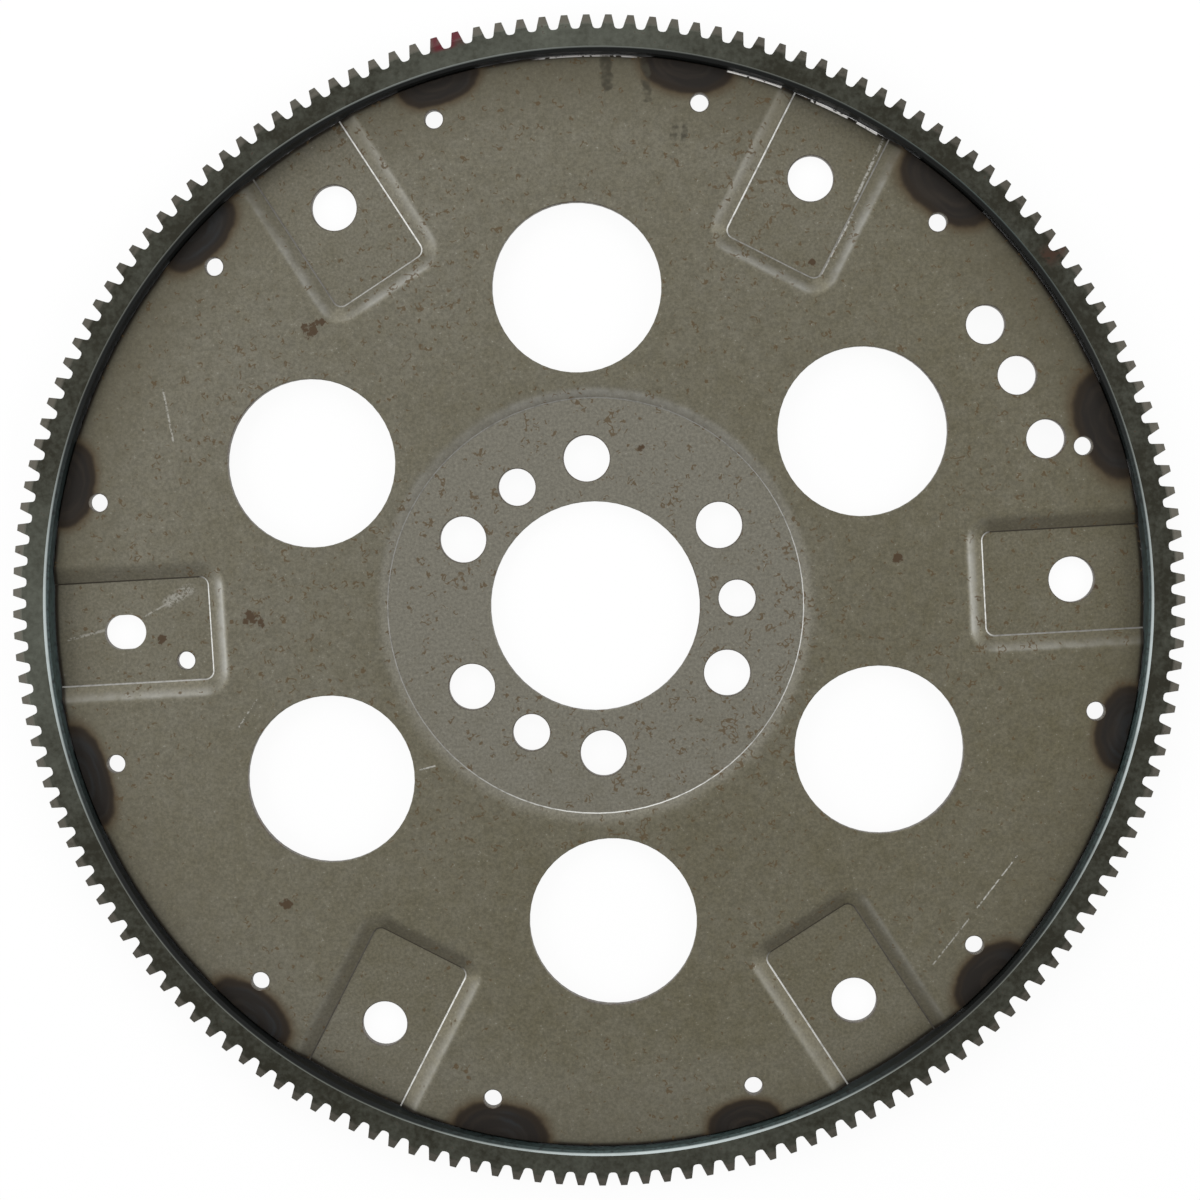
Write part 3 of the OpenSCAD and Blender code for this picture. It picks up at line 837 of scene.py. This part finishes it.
def paint_slope_light(piece):
    """Writes the painted highlight and the painted shade of the pressed slopes to the mesh's points."""
    shell = bmesh.new()
    shell.from_mesh(piece.data)
    rubbed = []
    dull = []
    for point in shell.verts:
        slopes = [corner for corner in point.link_loops if within(corner.face.normal.z, SLOPE_UP)]
        radius = point.co.xy.length
        if slopes and radius > PAD_SLOPES_START_AT:
            # Painted highlight and painted shade, by the side a slope faces
            normal = sum((corner.face.normal * corner.calc_angle() for corner in slopes), Vector())
            rubbed.append(by_side(SHOULDER_HIGHLIGHT, point.co, normal, CORNER_FADE))
            dull.append(by_side(SLOPE_SHADE, point.co, normal, CORNER_FADE))
        elif slopes and radius < HUB_ENDS_AT:
            rubbed.append(HUB_HIGHLIGHT * hub_top(point.co))
            dull.append(HUB_SHADE * hub_top(point.co))
        else:
            rubbed.append(0.0)
            dull.append(0.0)
    shell.free()
    for name, values in (("rubbed", rubbed), ("dull", dull)):
        piece.data.attributes.new(name, "FLOAT", "POINT").data.foreach_set("value", values)


def sort_faces(piece):
    """Gives cut walls and pressed edges their own materials, and writes how bright the painted highlight on
    each edge is.
    """
    shine = [0.0] * len(piece.data.polygons)
    for face in piece.data.polygons:
        up = face.normal.z
        radius = face.center.xy.length
        on_hub_edge = within(radius, HUB_EDGE_AT)
        on_rim = radius > RIM_EDGE_AT and within(up, RIM_EDGE_UP)
        if within(up, WALL_UP) or on_rim or (within(up, HOLE_EDGE_UP) and not on_hub_edge):
            face.material_index = 1
        elif within(up, PAD_EDGE_UP) and radius > PAD_EDGES_START_AT:
            face.material_index = 2
            shine[face.index] = by_side(SHINE, face.center, face.normal)
        elif within(up, HUB_EDGE_UP) and on_hub_edge:
            face.material_index = 2
            shine[face.index] = hub_shine(face.center)
    piece.data.attributes.new("shine", "FLOAT", "FACE").data.foreach_set("value", shine)


class FLEXPLATE_OT_disc(bpy.types.Operator):
    """Dress the pressed disc"""
    bl_idname = "flexplate.disc"
    bl_label = "Disc"

    def execute(self, context):
        finish = context.scene.flexplate_disc
        piece = merged_copy("flex_plate", "pressed_disc", DISC_SHARP)
        for material in (plate_steel(finish), cut_edge(finish), pressed_edge(finish)):
            piece.data.materials.append(material)
        sort_faces(piece)
        paint_slope_light(piece)
        even_normals(piece)
        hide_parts("flex_plate")
        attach(piece, "root")
        return {"FINISHED"}


class FLEXPLATE_OT_ring(bpy.types.Operator):
    """Dress the starter ring"""
    bl_idname = "flexplate.ring"
    bl_label = "Ring"

    def execute(self, context):
        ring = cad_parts["ring_gear"]
        material = ring_oxide(context.scene.flexplate_ring)
        ring.data.materials.clear()
        ring.data.materials.append(material)
        return {"FINISHED"}


class FLEXPLATE_OT_welds(bpy.types.Operator):
    """Dress the weld beads"""
    bl_idname = "flexplate.welds"
    bl_label = "Weld beads"

    def execute(self, context):
        material = weld_metal(context.scene.flexplate_beads)
        for node in WELD_NODES:
            bead = merged_copy(node, node.replace("weld", "bead"), BEAD_SHARP)
            bead.data.materials.append(material)
            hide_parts(node)
            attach(bead, "root")
        return {"FINISHED"}


class FLEXPLATE_OT_stage(bpy.types.Operator):
    """Set the floor, the lamps and the camera"""
    bl_idname = "flexplate.stage"
    bl_label = "Stage"

    def execute(self, context):
        look = context.scene.flexplate_stage
        self.floor(context, look)
        self.sky(context, look)
        self.lamps(context, look)
        self.camera(context, look)
        context.scene.view_settings.view_transform = "Standard"
        return {"FINISHED"}

    def floor(self, context, look):
        mesh = bpy.data.meshes.new("floor")
        sheet = bmesh.new()
        bmesh.ops.create_grid(sheet, x_segments=1, y_segments=1, size=FLOOR_REACH)
        bmesh.ops.translate(sheet, verts=sheet.verts[:], vec=(0, 0, CAD_BOX[0][2] - FLOOR_DROP))
        sheet.to_mesh(mesh)
        sheet.free()
        floor = bpy.data.objects.new("floor", mesh)
        context.scene.collection.objects.link(floor)
        mesh.materials.append(self.floor_white(look))

    def floor_white(self, look):
        """A matt white that looks evenly bright to the camera, directly and in mirror images."""
        material, tree = new_material("floor_white")
        material.cycles.emission_sampling = "NONE"
        ray = tree.add("ShaderNodeLightPath").outputs
        seen = tree.highest(ray["Is Camera Ray"], ray["Is Glossy Ray"], ray["Is Transmission Ray"])
        matt = tree.add("ShaderNodeBsdfDiffuse", {"Color": look.floor})
        glow = tree.add("ShaderNodeEmission", {"Color": (1.0, 1.0, 1.0), "Strength": 1.0})
        both = tree.add("ShaderNodeMixShader", {0: tree.times(seen, FLOOR_GLOW), 1: matt.outputs[0],
                                                2: glow.outputs[0]})
        tree.add("ShaderNodeOutputMaterial", {"Surface": both.outputs[0]})
        return material

    def sky(self, context, look):
        world = bpy.data.worlds.new("even_light")
        world.use_nodes = True
        background = world.node_tree.nodes["Background"]
        background.inputs["Color"].default_value = (1.0, 1.0, 1.0, 1.0)
        background.inputs["Strength"].default_value = look.sky
        context.scene.world = world

    def lamps(self, context, look):
        for name, place, size, power in LAMPS:
            data = bpy.data.lights.new(name, "AREA")
            data.shape = "SQUARE"
            data.size = size
            data.energy = getattr(look, power)
            lamp = bpy.data.objects.new(name, data)
            lamp.location = place
            lamp.rotation_euler = Vector(place).to_track_quat("Z", "Y").to_euler()
            context.scene.collection.objects.link(lamp)

    def camera(self, context, look):
        data = bpy.data.cameras.new("camera")
        data.sensor_fit = "HORIZONTAL"
        data.sensor_width = SENSOR_WIDTH
        data.lens = look.lens
        camera = bpy.data.objects.new("camera", data)
        turn = Matrix((look.camera_right, look.camera_up, look.camera_back)).transposed()
        camera.matrix_world = Matrix.Translation(look.camera_place) @ turn.to_4x4()
        context.scene.collection.objects.link(camera)
        context.scene.camera = camera


class FLEXPLATE_PT_panel(bpy.types.Panel):
    """Lists the pieces and their finishes"""
    bl_idname = "FLEXPLATE_PT_panel"
    bl_label = "Flexplate"
    bl_space_type = "VIEW_3D"
    bl_region_type = "UI"
    bl_category = "Flexplate"

    def draw(self, context):
        for operator, group in STEPS:
            box = self.layout.box()
            box.operator(operator)
            settings = getattr(context.scene, group)
            for name in settings.__annotations__:
                box.prop(settings, name)


STEPS = (("flexplate.disc", "flexplate_disc"), ("flexplate.ring", "flexplate_ring"),
         ("flexplate.welds", "flexplate_beads"), ("flexplate.stage", "flexplate_stage"))
GROUPS = (("flexplate_disc", DiscFinish), ("flexplate_ring", RingFinish),
          ("flexplate_beads", BeadFinish), ("flexplate_stage", StageLook))
CLASSES = (DiscFinish, RingFinish, BeadFinish, StageLook, FLEXPLATE_OT_disc, FLEXPLATE_OT_ring,
           FLEXPLATE_OT_welds, FLEXPLATE_OT_stage, FLEXPLATE_PT_panel)


def register():
    for cls in CLASSES:
        bpy.utils.register_class(cls)
    for name, group in GROUPS:
        setattr(bpy.types.Scene, name, PointerProperty(type=group))


def unregister():
    for name, group in GROUPS:
        delattr(bpy.types.Scene, name)
    for cls in reversed(CLASSES):
        bpy.utils.unregister_class(cls)


def main():
    register()
    bpy.ops.flexplate.disc()
    bpy.ops.flexplate.ring()
    bpy.ops.flexplate.welds()
    bpy.ops.flexplate.stage()


if __name__ == "__main__":
    main()
